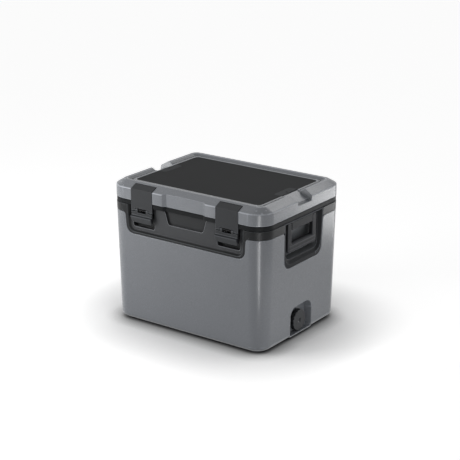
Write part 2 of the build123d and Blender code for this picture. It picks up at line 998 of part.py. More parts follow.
def make_lid_shell():
    outside = lid_slab(0, band_bottom, band_top)
    low_face = plate(half_width, half_depth, corner_radius, band_top)
    top_x = half_width - rim_run_end
    top_y = half_depth - rim_run_front
    outside += loft([low_face, plate(top_x, top_y, rim_corner, rim_top)], ruled=True)
    for height, radius in ((band_bottom, band_edge), (band_top, crease_radius), (rim_top, rim_edge)):
        outside = fillet(level_edges(outside, height), radius)
    in_x = top_x - rim_flat
    in_y = top_y - rim_flat
    in_r = rim_corner - rim_flat / 2
    low = plate(in_x - rim_slope, in_y - rim_slope, in_r - rim_slope / 2, ledge_z)
    outside -= loft([low, plate(in_x, in_y, in_r, rim_top)], ruled=True)
    bead_x = in_x - rim_slope - bead_margin
    bead_y = in_y - rim_slope - bead_margin
    groove = slab(bead_x, bead_y, in_r, ledge_z - bead_depth, rim_top)
    inner_x = bead_x - bead_width
    inner_y = bead_y - bead_width
    low_z = ledge_z - 2 * bead_depth
    groove -= slab(inner_x, inner_y, in_r - bead_turn, low_z, rim_top + overlap)
    shell = outside - groove
    seat_x = panel_x + seam
    seat_y2 = half_depth - panel_front + seam
    shell -= slab(seat_x, seat_y2, panel_corner + seam, panel_floor, rim_top)
    shell -= lid_cavity()
    channel = channel_cut()
    shell = shell - channel - mirrored(channel)
    shell -= lift_notch_cut()
    core_half = latch_offset - latch_width / 2 - lid_core_side
    core_top = band_top - lid_core_roof
    core_y0 = -half_depth + notch_depth + lid_skin
    core_y1 = -half_depth + lid_front_wall - lid_skin
    shell -= box(-core_half, core_half, core_y0, core_y1, lid_bottom, core_top)
    for centre in latch_centres:
        shell -= strap_seat_cut(centre)
        shell -= strap_pin_hole(centre, strap_pin_radius + pin_seat)
        shell -= hinge_lid_seat(centre)
        shell -= hinge_clear_cut(centre)
    for hole in lid_hinge_screw_holes(screw_radius + pin_seat):
        shell -= hole
    return shell


def make_lid_frame():
    ring = lid_slab(frame_step, lid_bottom, band_bottom)
    inner = frame_step + frame_wall
    ring -= lid_slab(inner, lid_bottom + frame_flange, band_bottom + overlap)
    hole_x = plug_x + pan_gap
    hole_y = plug_y + pan_gap
    ring -= slab(hole_x, hole_y, plug_radius, lid_bottom - overlap, band_bottom)
    ring -= gasket_ring(0, lid_bottom - overlap, lid_bottom + gasket_seat)
    ring -= lift_notch_cut()
    for centre in latch_centres:
        ring -= strap_seat_cut(centre)
        ring -= hinge_lid_seat(centre)
        ring -= hinge_clear_cut(centre)
    return ring


def gasket_ring(shrink, z0, z1):
    inner = gasket_offset + shrink
    outer = gasket_offset + gasket_width - shrink
    radius = cavity_radius
    ring = slab(cavity_x + outer, cavity_y + outer, radius + outer, z0, z1)
    hole_x = cavity_x + inner
    hole_y = cavity_y + inner
    return ring - slab(hole_x, hole_y, radius + inner, z0 - overlap, z1 + overlap)


def make_lid_gasket():
    low = tub_top + gasket_gap
    return gasket_ring(gasket_gap, low, lid_bottom + gasket_seat - gasket_gap)


pan_top = lid_bottom + frame_flange
pan_low = lid_bottom - plug_depth


def plug_block(inset, top):
    """Drafted block that hangs into the tub's mouth, at an inset from its outside."""
    low = inset + plug_draft
    block = drafted(
        plug_x - low, plug_y - low, plug_radius - low, pan_low + inset, top, plug_draft
    )
    return fillet(block.faces().sort_by(Axis.Z)[0].edges(), plug_fillet - inset)


def make_lid_liner():
    top = pan_top + liner_wall
    flange = slab(plug_x + pan_lip, plug_y + pan_lip, plug_radius + pan_lip, pan_top, top)
    return flange + plug_block(0, pan_top) - plug_block(liner_wall, top + overlap)


def make_lid_insulation():
    skin = liner_wall + foam_gap
    inset = plug_draft + skin + lid_foam_inset
    low_x = plug_x - inset
    low_y = plug_y - inset
    lower = slab(low_x, low_y, plug_radius, pan_low + skin, pan_top + skin + overlap)
    y0 = -half_depth + lid_front_wall + foam_gap
    y1 = half_depth - lid_back_wall - foam_gap
    half_x = channel_back - foam_gap
    half_y = (y1 - y0) / 2 - lid_core_slope
    upper = slab(half_x, half_y, lid_foam_radius, pan_top + skin, lid_ceiling - foam_gap)
    return lower + Pos(0, (y0 + y1) / 2, 0) * upper


def inlay_face(grow):
    inner = panel_x - inlay_width - grow
    outer = panel_x + grow
    half = inlay_half + grow
    points = [(inner, -half), (outer, -half), (outer, half), (inner, half)]
    return outline(points, [inlay_corner, inlay_end_corner, inlay_end_corner, inlay_corner])


inlay_screw_x = panel_x - inlay_screw_inset


def inlay_screw_hole(radius, depth):
    height = depth + inlay_thick
    middle = Pos(inlay_screw_x, 0, panel_z - depth + height / 2)
    return middle * Cylinder(radius, height)


def make_lid_top_panel():
    y = half_depth - panel_front
    panel = slab(panel_x, y, panel_corner, panel_floor, panel_z)
    low = panel_z - inlay_thick
    pocket = extrude(Pos(0, 0, low) * inlay_face(seam), inlay_thick + overlap)
    pocket += inlay_screw_hole(screw_radius + pin_seat, panel_thick - inlay_screw_floor)
    return panel - pocket - mirrored(pocket)


def make_lid_end_plate():
    low = panel_z - inlay_thick
    inlay = extrude(Pos(0, 0, low) * inlay_face(0), inlay_thick + inlay_proud)
    return inlay - inlay_screw_hole(screw_radius + pin_seat, panel_thick)


def make_lid_plate_screws():
    top = panel_z + inlay_proud
    low = panel_floor + inlay_screw_tip
    screws = []
    for x in (-inlay_screw_x, inlay_screw_x):
        shank = Pos(x, 0, (low + top) / 2) * Cylinder(screw_radius, top - low)
        cap = Pos(x, 0, top + inlay_cap / 2) * Cylinder(screw_radius + inlay_cap_lip, inlay_cap)
        screws.append(shank + cap)
    return Compound(children=screws)


# Latch strap and lever, drawn at the middle and moved to their places
def make_latch_strap(centre):
    half = latch_width / 2
    strap = end_prism(strap_section(0), centre - half, centre + half)
    strap += rod_x(strap_barrel, centre - half, centre + half, barrel_y, barrel_z)
    knuckle = strap_thick / 2
    strap += rod_x(knuckle, centre - half, centre + half, lever_pin_y, lever_pin_z)
    clear = knuckle + lever_gap
    slot = lever_knuckle_half + lever_gap
    low = lever_pin_z - strap_thick
    near = strap_front - overlap
    far = strap_back + overlap
    strap -= box(centre - slot, centre + slot, near, far, low, lever_pin_z + clear)
    strap -= strap_pin_hole(centre, strap_pin_radius + pin_gap)
    reach = half - lever_pin_cover
    strap -= rod_x(
        lever_pin_radius + pin_gap, centre - reach, centre + reach, lever_pin_y, lever_pin_z
    )
    sides = strap.edges().filter_by(GeomType.LINE).filter_by(Axis.Z)
    sides = sides.filter_by_position(Axis.Y, strap_front - seam / 10, strap_front + seam / 10)
    return fillet(sides.filter_by(lambda edge: edge.length > band_height), strap_edge)


lever_top = lever_pin_z - strap_thick / 2 - lever_gap
lever_low = tub_top - lever_drop
ridge_z = tub_top - lever_ridge_drop
ridge_y = -half_depth - hinge_reach
lever_back = strap_front + lever_thick


def make_latch_lever(centre):
    half = latch_width / 2 - lever_inset
    face = strap_front
    points = [
        (lever_back, lever_top),
        (face, lever_top),
        (face, ridge_z + ridge_rise),
        (ridge_y, ridge_z + ridge_up),
        (ridge_y, ridge_z - ridge_down),
        (face + lever_foot_in, lever_low),
        (lever_back - lever_foot_back, lever_low),
        (lever_back, lever_low + lever_back_slope),
    ]
    upper = [0, lever_edge, ridge_fillet, ridge_edge, ridge_edge]
    section = outline(points, upper + [lever_foot_edge, lever_back_edge, 0])
    lever = end_prism(section, centre - half, centre + half)
    knuckle = strap_thick / 2
    tongue = lever_knuckle_half
    lever += rod_x(knuckle, centre - tongue, centre + tongue, lever_pin_y, lever_pin_z)
    sunk = lever_top - overlap
    lever += box(centre - tongue, centre + tongue, face, lever_back, sunk, lever_pin_z)
    near = face - overlap
    far = strap_back + overlap
    left = centre - lever_window_half
    right = centre + lever_window_half
    lever -= box(left, right, near, far, lever_top - lever_window_drop, tub_top)
    catch_y = catch_tip_y - catch_clear
    root_y = lever_back - overlap
    low = catch_top - catch_height
    lever += box(centre - catch_half, centre + catch_half, root_y, catch_y, low, catch_top)
    lever -= rod_x(
        lever_pin_radius + pin_seat, centre - half, centre + half, lever_pin_y, lever_pin_z
    )
    corners = [
        (centre - half, tub_top),
        (centre - half, lever_low - overlap),
        (centre + half, lever_low - overlap),
        (centre + half, tub_top),
    ]
    rounded = outline(corners, [0, lever_corner, lever_corner, 0])
    return lever & front_prism(rounded, pocket_y, ridge_y - overlap)


def make_strap_pin(centre):
    reach = latch_width / 2 + move_gap + strap_pin_grip - seam
    return rod_x(strap_pin_radius, centre - reach, centre + reach, barrel_y, barrel_z)


def make_lever_pin(centre):
    reach = latch_width / 2 - lever_pin_cover - seam
    return rod_x(lever_pin_radius, centre - reach, centre + reach, lever_pin_y, lever_pin_z)


# Rear hinge leaves, pins and screws
leaf_face = seat_y + hinge_leaf


def make_hinge_lid_leaf(centre):
    half = hinge_half
    low = hinge_z + hinge_barrel + move_gap + seam
    knuckle = hinge_knuckle_half - move_gap / 2
    root = low + overlap
    leaf = box(centre - half, centre + half, seat_y, leaf_face, low, hinge_lid_top)
    leaf += box(centre - knuckle, centre + knuckle, seat_y, leaf_face, hinge_z, root)
    leaf += rod_x(hinge_barrel, centre - knuckle, centre + knuckle, hinge_y, hinge_z)
    bore = hinge_pin_radius + pin_gap
    leaf -= rod_x(bore, centre - half, centre + half, hinge_y, hinge_z)
    for hole in lid_hinge_screw_holes(screw_radius + pin_seat):
        leaf -= hole
    return leaf


def make_hinge_tub_leaf(centre):
    half = hinge_half
    low = tub_top - hinge_tub_height - hinge_margin + seam
    top = hinge_z - hinge_barrel - move_gap - seam
    root = top - overlap
    knuckle = hinge_knuckle_half + move_gap / 2
    leaf = box(centre - half, centre + half, seat_y, leaf_face, low, top)
    leaf += box(centre - half, centre - knuckle, seat_y, leaf_face, root, hinge_z)
    leaf += box(centre + knuckle, centre + half, seat_y, leaf_face, root, hinge_z)
    leaf += rod_x(hinge_barrel, centre - half, centre - knuckle, hinge_y, hinge_z)
    leaf += rod_x(hinge_barrel, centre + knuckle, centre + half, hinge_y, hinge_z)
    leaf -= rod_x(hinge_pin_radius + pin_seat, centre - half, centre + half, hinge_y, hinge_z)
    for hole in tub_hinge_screw_holes(screw_radius + pin_seat):
        leaf -= hole
    return leaf


def make_hinge_pin(centre):
    return rod_x(hinge_pin_radius, centre - hinge_half, centre + hinge_half, hinge_y, hinge_z)


def make_hinge_screws(tip, height):
    screws = []
    for centre in latch_centres:
        for side in (-screw_offset, screw_offset):
            x = centre + side
            shank = rod_y(screw_radius, tip + screw_tip_gap, leaf_face + overlap / 2, x, height)
            screws.append(screw(shank, leaf_face, leaf_face + screw_head, x, height))
    return Compound(children=screws)


def make_all():
    housing = make_handle_housing()
    bracket = make_handle_bracket()
    pin = make_handle_pin()
    handle = make_handle()
    inlay = make_lid_end_plate()
    nodes = {
        "outer_shell": make_outer_shell(),
        "collar_frame": make_collar_frame(),
        "inner_liner": make_inner_liner(),
        "body_insulation": make_body_insulation(),
        "handle_housing_right": housing,
        "handle_housing_left": mirrored(housing),
        "handle_bracket_right": bracket,
        "handle_bracket_left": mirrored(bracket),
        "handle_pin_right": pin,
        "handle_pin_left": mirrored(pin),
        "handle_right": handle,
        "handle_left": mirrored(handle),
        "keeper_screws": make_keeper_screws(),
        "rubber_feet": make_feet(),
        "drain_bushing": make_drain_bushing(),
        "drain_lock_nut": make_drain_nut(),
        "drain_seal": make_drain_seal(),
        "drain_knob": make_drain_knob(),
        "lid_shell": make_lid_shell(),
        "lid_frame": make_lid_frame(),
        "lid_gasket": make_lid_gasket(),
        "lid_liner": make_lid_liner(),
        "lid_insulation": make_lid_insulation(),
        "lid_top_panel": make_lid_top_panel(),
        "lid_end_plate_right": inlay,
        "lid_end_plate_left": mirrored(inlay),
        "lid_plate_screws": make_lid_plate_screws(),
        "hinge_lid_screws": make_hinge_screws(lid_screw_tip, lid_screw_z),
        "hinge_tub_screws": make_hinge_screws(tub_screw_tip, tub_screw_z),
    }
    for side, centre in zip(("left", "right"), latch_centres):
        nodes["latch_keeper_" + side] = make_latch_keeper(centre)
        nodes["latch_strap_" + side] = make_latch_strap(centre)
        nodes["latch_lever_" + side] = make_latch_lever(centre)
        nodes["strap_pin_" + side] = make_strap_pin(centre)
        nodes["lever_pin_" + side] = make_lever_pin(centre)
        nodes["hinge_lid_leaf_" + side] = make_hinge_lid_leaf(centre)
        nodes["hinge_tub_leaf_" + side] = make_hinge_tub_leaf(centre)
        nodes["hinge_pin_" + side] = make_hinge_pin(centre)
    return nodes


os.makedirs("parts", exist_ok=True)
for name, shape in make_all().items():
    export_step(shape, "parts/" + name + ".step")
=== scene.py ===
import json
import math

import bmesh
import bpy
from bpy.props import FloatProperty, FloatVectorProperty, IntProperty, PointerProperty
from bpy.types import Operator, Panel, PropertyGroup
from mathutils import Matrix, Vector

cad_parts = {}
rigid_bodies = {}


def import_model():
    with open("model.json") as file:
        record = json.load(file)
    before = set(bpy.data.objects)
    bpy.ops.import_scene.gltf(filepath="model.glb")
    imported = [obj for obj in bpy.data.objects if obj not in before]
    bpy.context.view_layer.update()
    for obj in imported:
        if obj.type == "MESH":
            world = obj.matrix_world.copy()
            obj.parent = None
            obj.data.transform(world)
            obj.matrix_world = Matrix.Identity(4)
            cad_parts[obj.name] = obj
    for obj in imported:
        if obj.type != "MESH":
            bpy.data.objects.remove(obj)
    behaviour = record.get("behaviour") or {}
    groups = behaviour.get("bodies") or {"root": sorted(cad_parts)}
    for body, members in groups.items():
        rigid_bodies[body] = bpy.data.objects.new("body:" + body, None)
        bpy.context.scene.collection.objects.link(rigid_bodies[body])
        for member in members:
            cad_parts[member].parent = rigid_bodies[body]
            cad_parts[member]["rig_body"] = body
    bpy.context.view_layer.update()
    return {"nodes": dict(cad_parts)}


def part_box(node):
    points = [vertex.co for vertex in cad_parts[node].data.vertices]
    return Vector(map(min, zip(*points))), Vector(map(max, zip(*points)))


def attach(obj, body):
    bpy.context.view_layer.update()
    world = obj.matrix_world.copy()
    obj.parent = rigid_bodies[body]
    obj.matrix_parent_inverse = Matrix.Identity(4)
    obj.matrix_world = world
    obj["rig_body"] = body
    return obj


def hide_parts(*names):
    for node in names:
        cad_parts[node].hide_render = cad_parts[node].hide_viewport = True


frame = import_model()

bl_info = {
    "name": "Latched cooler",
    "version": (1, 0, 0),
    "blender": (4, 5, 0),
    "location": "View3D > Sidebar > Cooler",
    "description": "Dresses the cooler's solids with rounded edges and moulded finishes",
    "category": "Object",
}

SIDES = ("left", "right")
AXIS_Y = 1
AXIS_Z = 2
WHITE = (1.0, 1.0, 1.0, 1.0)

# Limits used when a solid's mesh is made ready for rounding
MERGE_DISTANCE = 2e-5
FLAT_ANGLE = math.radians(0.4)
SHARP_ANGLE = math.radians(28)
SMOOTH_ANGLE = math.radians(32)
ROOM_PER_RADIUS = 1.5
SHORTEST_PER_RADIUS = 0.4

# Attribute that marks the faces of rounded edges for a painted highlight, the material slot that tells
# them apart till then, and what counts as a face of a small fillet
EDGE_HIGHLIGHT_MARK = "edge_line"
EDGE_SLOT = 1
FILLET_WIDTH = 0.0011
FILLET_BEND = math.radians(3)

# Surface of the finishes: grains per metre and their depth in metres, then what all of them share
GLOSSY_GRAIN = {"grain": 1100.0, "depth": 0.00004}
DARK_GRAIN = {"grain": 1000.0, "depth": 0.00008}
PANEL_GRAIN = {"grain": 700.0, "depth": 0.00012}
INLAY_GRAIN = {"grain": 900.0, "depth": 0.00008}
LINER_GRAIN = {"grain": 1200.0, "depth": 0.00004}
FOAM_GRAIN = {"grain": 420.0, "depth": 0.0005}
RUBBER_GRAIN = {"grain": 800.0, "depth": 0.00006}
DRAIN_GRAIN = {"grain": 1000.0, "depth": 0.00006}
STEEL_GRAIN = {"grain": 1500.0, "depth": 0.00003}
GRAIN_STRENGTH = 0.6
PATCHES_PER_METRE = 7.0
SPECKLE_DETAIL = 3.0
PATCH_DETAIL = 4.0

# Edges: rays per probe, their usual radius in metres, and the cosines of a bent normal between which an
# edge is painted paler, partly as rubbing and mostly as painted highlight
EDGE_RAYS = 6
EDGE_RADIUS = 0.0008
EDGE_HIGHLIGHT_STARTS = 0.99
EDGE_HIGHLIGHT_FULL = 0.75

# Painted shade in recesses: rays per probe, and how far a probe reaches, in metres
RECESS_RAYS = 8
RECESS_REACH = 0.03

# Floor, and its painted contact shadow: how far the two parts reach, in metres, and their exponents
FLOOR_RADIUS = 9.0
FLOOR_CORNERS = 96
FLOOR_ROUGHNESS = 0.9
FLOOR_RAYS = 16
SHADOW_REACH = 0.22
SHADOW_DEPTH = 3.0
CONTACT_REACH = 0.05
CONTACT_DEPTH = 1.1

# Lamps: place, the point that they face, width and height
KEY_LIGHT = ((-0.95, -0.95, 0.50), (-0.1, -0.18, 0.25), 0.7, 0.5)
BACK_LIGHT = ((0.66, 0.46, 0.40), (0.235, 0.1, 0.30), 0.3, 0.3)
CARD_LIGHT = ((0.54, 0.755, 0.15), (0.235, 0.15, 0.28), 0.26, 0.3)
STRIP_LIGHT = ((0.44, -0.42, 0.14), (0.22, -0.16, 0.14), 0.07, 0.28)
LOW_LIGHT = ((0.60, -0.10, 0.03), (0.235, -0.05, 0.06), 0.5, 0.06)
TOP_LIGHT = ((0.12, 0.92, 1.12), (0.0, 0.0, 0.36), 0.5, 0.3)

# Places where the tone changes: the flat front panel, its lift recess and the inside of a housing
FRONT_PANEL_Y = -0.1686
FRONT_PANEL_STEP = 0.0047
FRONT_PANEL_REACH = 0.1708
# The lift recess is darker as painted shade
LIFT_Y = -0.1690
LIFT_SHADE_FADE = 0.7
# Inside a housing the tone is lighter as painted light
POCKET_X = 0.2245

# Shoulders that close the collar's rim beside a handle housing: lowest and highest corner
SHOULDER_LOW = (0.2012, 0.0705, 0.3082)
SHOULDER_HIGH = (0.2280, 0.0857, 0.3146)

# Screw heads: how far out they sit, and the cross recess in each
HINGE_SCREW_X = (0.110, 0.150)
KEEPER_SCREW_X = (0.117, 0.143)
INLAY_SCREW_X = 0.1815
CROSS_WIDTH = 0.0011
CROSS_REACH = 0.0013
CROSS_SINK = 0.0003


def length(name, description, default):
    """A length in metres that a user may change."""
    return FloatProperty(name=name, description=description, default=default, min=0.0, unit="LENGTH")


def colour(name, description, default):
    """A colour that a user may change."""
    return FloatVectorProperty(
        name=name, description=description, default=default, size=3, min=0.0, max=1.0, subtype="COLOR"
    )


def angle(name, description, degrees):
    """An angle that a user may change, given in degrees."""
    default = math.radians(degrees)
    return FloatProperty(name=name, description=description, default=default, subtype="ANGLE")


def lamp_power(name, description, default):
    """A lamp's power in watts that a user may change."""
    return FloatProperty(name=name, description=description, default=default, unit="POWER")


class CoolerSizes(PropertyGroup):
    """Edge radii of the moulded pieces."""

    shell_edge: length("Tub edge", "Rounding of the tub shell's edges", 0.0010)
    collar_edge: length("Collar edge", "Rounding of the collar and its front panel", 0.0012)
    housing_edge: length("Housing edge", "Rounding of the handle housings", 0.0011)
    lid_edge: length("Lid edge", "Rounding of the lid shell", 0.0016)
    frame_edge: length("Lid frame edge", "Rounding of the dark frame under the lid", 0.0009)
    panel_edge: length("Panel edge", "Rounding of the top panel, inlays and liners", 0.0004)
    latch_edge: length("Latch edge", "Rounding of the straps and levers", 0.0007)
    handle_edge: length("Handle edge", "Rounding of the handles and brackets", 0.0008)
    drain_edge: length("Drain edge", "Rounding of the drain pieces", 0.0005)
    hinge_edge: length("Hinge edge", "Rounding of the hinge leaves and keepers", 0.0005)
    pin_edge: length("Pin edge", "Rounding of the pins, screws and foam", 0.0003)
    seal_edge: length("Seal edge", "Rounding of the lid seal", 0.0012)
    foot_edge: length("Foot edge", "Rounding of the rubber feet", 0.0006)
    edge_steps: IntProperty(
        name="Edge steps", description="Faces across an edge", default=3, min=1, max=6
    )


class CoolerColours(PropertyGroup):
    """Base colours of the finishes."""

    shell: colour("Shell grey", "Grey plastic of the tub", (0.167, 0.177, 0.194))
    # Lighter than the shell grey although the lid is the same grey plastic: the difference is painted
    # light
    lid: colour("Lid grey", "Grey plastic of the lid", (0.208, 0.220, 0.240))
    collar: colour("Collar black", "Collar's border and the lid frame", (0.012, 0.013, 0.014))
    front: colour("Front charcoal", "Front panel inside the collar's border", (0.055, 0.057, 0.061))
    handle: colour("Handle charcoal", "Dark plastic of the swing handles", (0.026, 0.027, 0.030))
    housing: colour("Housing charcoal", "Rim of the handle housings", (0.018, 0.019, 0.021))
    # Much lighter than the housing charcoal: painted light inside the deep handle housings
    pocket_painted_light: colour("Pocket painted light", "Inside of the handle housings", (0.155, 0.163, 0.172))
    latch: colour("Latch charcoal", "Dark plastic of straps and levers", (0.029, 0.031, 0.034))
    panel: colour("Panel black", "Matt top panel", (0.042, 0.043, 0.044))
    inlay: colour("Inlay charcoal", "Small plates in the top panel", (0.056, 0.058, 0.061))
    liner: colour("Liner grey", "Light plastic of the cold space", (0.62, 0.64, 0.66))
    foam: colour("Foam", "Insulating foam", (0.66, 0.58, 0.38))
    rubber: colour("Rubber black", "Feet, lid seal and drain seal", (0.018, 0.018, 0.019))
    drain: colour("Drain black", "Drain knob, bushing and lock nut", (0.024, 0.025, 0.028))
    hinge: colour("Hinge charcoal", "Rear hinges and latch keepers", (0.026, 0.027, 0.030))
    steel: colour("Steel", "Pins and screws", (0.60, 0.60, 0.61))
    dark_steel: colour("Dark steel", "Lever pins and inlay screws", (0.022, 0.022, 0.023))
    floor: colour("Floor", "Pale studio floor", (0.86, 0.86, 0.86))


class CoolerStage(PropertyGroup):
    """Camera and light."""

    azimuth: angle("Azimuth", "Camera turn from the front", 35.74)
    elevation: angle("Elevation", "Camera height angle", 18.6)
    eye: FloatVectorProperty(
        name="Eye", description="Camera place", default=(1.9501, -2.6947, 1.3517), subtype="TRANSLATION"
    )
    lens: FloatProperty(
        name="Lens", description="Focal length in millimetres", default=107.9, unit="CAMERA"
    )
    side_air: FloatProperty(
        name="Side air", description="All-round light at the horizon", default=0.48, min=0.0
    )
    top_air: FloatProperty(
        name="Top air", description="All-round light overhead", default=0.36, min=0.0
    )
    key_power: lamp_power("Key", "Soft light at the left front", 8.2)
    back_power: lamp_power("Back", "Soft light at the right back", 0.25)
    card_power: lamp_power("Card", "Glossy light low at the right back", 1.3)
    strip_power: lamp_power("Strip", "Thin light at the front corner", 0.56)
    top_power: lamp_power("Top", "Glossy light high at the back", 1.15)
    low_power: lamp_power("Low", "Soft light low at the right", 0.36)
    floor_lift: FloatProperty(
        name="Floor lift", description="White added to the floor for the eye", default=0.62
    )


def sizes():
    """The edge radii as they are set now."""
    return bpy.context.scene.cooler_sizes


def colours():
    """The base colours as they are set now."""
    return bpy.context.scene.cooler_colours


# Modelling helpers


def only(piece):
    """Makes a piece the one selected and active object."""
    bpy.ops.object.select_all(action="DESELECT")
    piece.select_set(True)
    bpy.context.view_layer.objects.active = piece


def combine(piece, tool, operation):
    """Adds a tool's shape to a piece or cuts it out, and removes the tool."""
    only(piece)
    bpy.ops.object.modifier_add(type="BOOLEAN")
    change = piece.modifiers[-1]
    change.operation = operation
    change.solver = "EXACT"
    change.object = tool
    bpy.ops.object.modifier_apply(modifier=change.name)
    bpy.data.objects.remove(tool)


def cross_cutter(place, way):
    """A cross-shaped cutter in a screw's head; way is the number of the screw's own axis."""
    bpy.ops.object.select_all(action="DESELECT")
    bpy.ops.mesh.primitive_cube_add(size=CROSS_WIDTH, location=place)
    cutter = bpy.context.active_object
    bpy.ops.object.mode_set(mode="EDIT")
    bpy.ops.mesh.select_mode(type="FACE")
    bpy.ops.mesh.select_all(action="DESELECT")
    mesh = bmesh.from_edit_mesh(cutter.data)
    for face in mesh.faces:
        face.select_set(round(face.normal[way]) == 0)
    bmesh.update_edit_mesh(cutter.data)
    bpy.ops.mesh.extrude_faces_move(TRANSFORM_OT_shrink_fatten={"value": CROSS_REACH})
    bpy.ops.object.mode_set(mode="OBJECT")
    return cutter


def recess_screws(places, way):
    """A step that cuts a cross into each head of a set of screws."""

    def rework(piece):
        for place in places:
            combine(piece, cross_cutter(place, way), "DIFFERENCE")

    return rework


def fill_shoulders(piece):
    """Joins a housing to the collar's rim at both of its ends."""
    turn = math.copysign(1.0, sum(vert.co.x for vert in piece.data.vertices))
    low, high = Vector(SHOULDER_LOW), Vector(SHOULDER_HIGH)
    middle, span = (low + high) / 2, high - low
    for end in (-1.0, 1.0):
        bpy.ops.object.select_all(action="DESELECT")
        bpy.ops.mesh.primitive_cube_add(
            size=1.0, location=(turn * middle.x, end * middle.y, middle.z), scale=span
        )
        combine(piece, bpy.context.active_object, "UNION")


def copy_of(node, name, split, rework):
    """A merged copy of a solid's mesh, reworked, whose flat areas are single faces, or convex ones."""
    piece = bpy.data.objects.new(name, frame["nodes"][node].data.copy())
    bpy.context.scene.collection.objects.link(piece)
    only(piece)
    if piece.data.has_custom_normals:
        bpy.ops.mesh.customdata_custom_splitnormals_clear()
    bpy.ops.object.mode_set(mode="EDIT")
    bpy.ops.mesh.select_all(action="SELECT")
    bpy.ops.mesh.remove_doubles(threshold=MERGE_DISTANCE)
    if rework:
        bpy.ops.object.mode_set(mode="OBJECT")
        rework(piece)
        only(piece)
        bpy.ops.object.mode_set(mode="EDIT")
        bpy.ops.mesh.select_all(action="SELECT")
    bpy.ops.mesh.dissolve_limited(angle_limit=FLAT_ANGLE)
    if split:
        bpy.ops.mesh.vert_connect_concave()
    bpy.ops.object.mode_set(mode="OBJECT")
    return piece


def roomy_edges(mesh, radius):
    """Sharp outer edges whose neighbours leave room for a rounding."""
    picks = {
        edge
        for edge in mesh.edges
        if edge.is_convex and edge.calc_face_angle(0.0) > SHARP_ANGLE
    }
    while True:
        tight = set()
        for edge in picks:
            others = [o for vert in edge.verts for o in vert.link_edges if o not in picks]
            crowded = any(o.calc_length() < ROOM_PER_RADIUS * radius for o in others)
            if crowded or edge.calc_length() < SHORTEST_PER_RADIUS * radius:
                tight.add(edge)
        if not tight:
            return picks
        picks -= tight


def on_fillet(face):
    """Tells whether a face is one of the narrow strips of a small outer rounding."""
    longest = max(edge.calc_length() for edge in face.edges)
    if face.calc_area() > FILLET_WIDTH * longest:
        return False
    bends = [edge.calc_face_angle_signed(0.0) for edge in face.edges]
    return any(FILLET_BEND < bend < SHARP_ANGLE for bend in bends)


def round_edges(piece, radius):
    """Bevels the sharp outer edges of a piece; marks the new faces and those of small fillets for a
    painted highlight.
    """
    only(piece)
    piece.data.materials.clear()
    for _ in range(EDGE_SLOT + 1):
        piece.data.materials.append(None)
    bpy.ops.object.mode_set(mode="EDIT")
    bpy.ops.mesh.select_mode(type="EDGE")
    bpy.ops.mesh.select_all(action="DESELECT")
    mesh = bmesh.from_edit_mesh(piece.data)
    for edge in roomy_edges(mesh, radius):
        edge.select_set(True)
    bmesh.update_edit_mesh(piece.data)
    bpy.ops.mesh.bevel(
        offset=radius,
        segments=sizes().edge_steps,
        affect="EDGES",
        clamp_overlap=False,
        material=EDGE_SLOT,
    )
    mesh = bmesh.from_edit_mesh(piece.data)
    mark = mesh.faces.layers.float.new(EDGE_HIGHLIGHT_MARK)
    for face in mesh.faces:
        face[mark] = float(face.material_index == EDGE_SLOT or on_fillet(face))
    bmesh.update_edit_mesh(piece.data)
    bpy.ops.object.mode_set(mode="OBJECT")


def smooth_faces(piece):
    """Smooth shading that keeps flat faces flat beside rounded edges."""
    only(piece)
    bpy.ops.object.shade_smooth_by_angle(angle=SMOOTH_ANGLE)
    bpy.ops.object.modifier_add(type="WEIGHTED_NORMAL")
    weighted = piece.modifiers[-1]
    weighted.keep_sharp = True
    bpy.ops.object.modifier_apply(modifier=weighted.name)


def dress(piece, node, material):
    """Gives a piece its finish and puts it in the place of a solid."""
    piece.data.materials.clear()
    piece.data.materials.append(material)
    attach(piece, frame["nodes"][node]["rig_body"])
    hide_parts(node)


def rounded_node(node, radius, material, split=False, rework=None):
    """Puts a copy with rounded edges in the place of a solid."""
    piece = copy_of(node, node + "_dressed", split, rework)
    round_edges(piece, radius)
    smooth_faces(piece)
    dress(piece, node, material)


# Shader node helpers


def socket(tree, name, kind, way, default=None):
    """Adds a socket to a node group."""
    made = tree.interface.new_socket(name=name, in_out=way, socket_type=kind)
    if default is not None:
        made.default_value = default


def add(tree, kind, **settings):
    """Adds a shader node and sets its plain settings."""
    node = tree.nodes.new(kind)
    for key, value in settings.items():
        setattr(node, key, value)
    return node


def value_math(tree, operation, first, second):
    """A math node on links or plain numbers; returns its output."""
    node = add(tree, "ShaderNodeMath", operation=operation)
    for index, item in enumerate((first, second)):
        if isinstance(item, (int, float)):
            node.inputs[index].default_value = item
        else:
            tree.links.new(item, node.inputs[index])
    return node.outputs[0]


def size_of(tree, item):
    """A number without its sign."""
    return value_math(tree, "ABSOLUTE", item, 0.0)


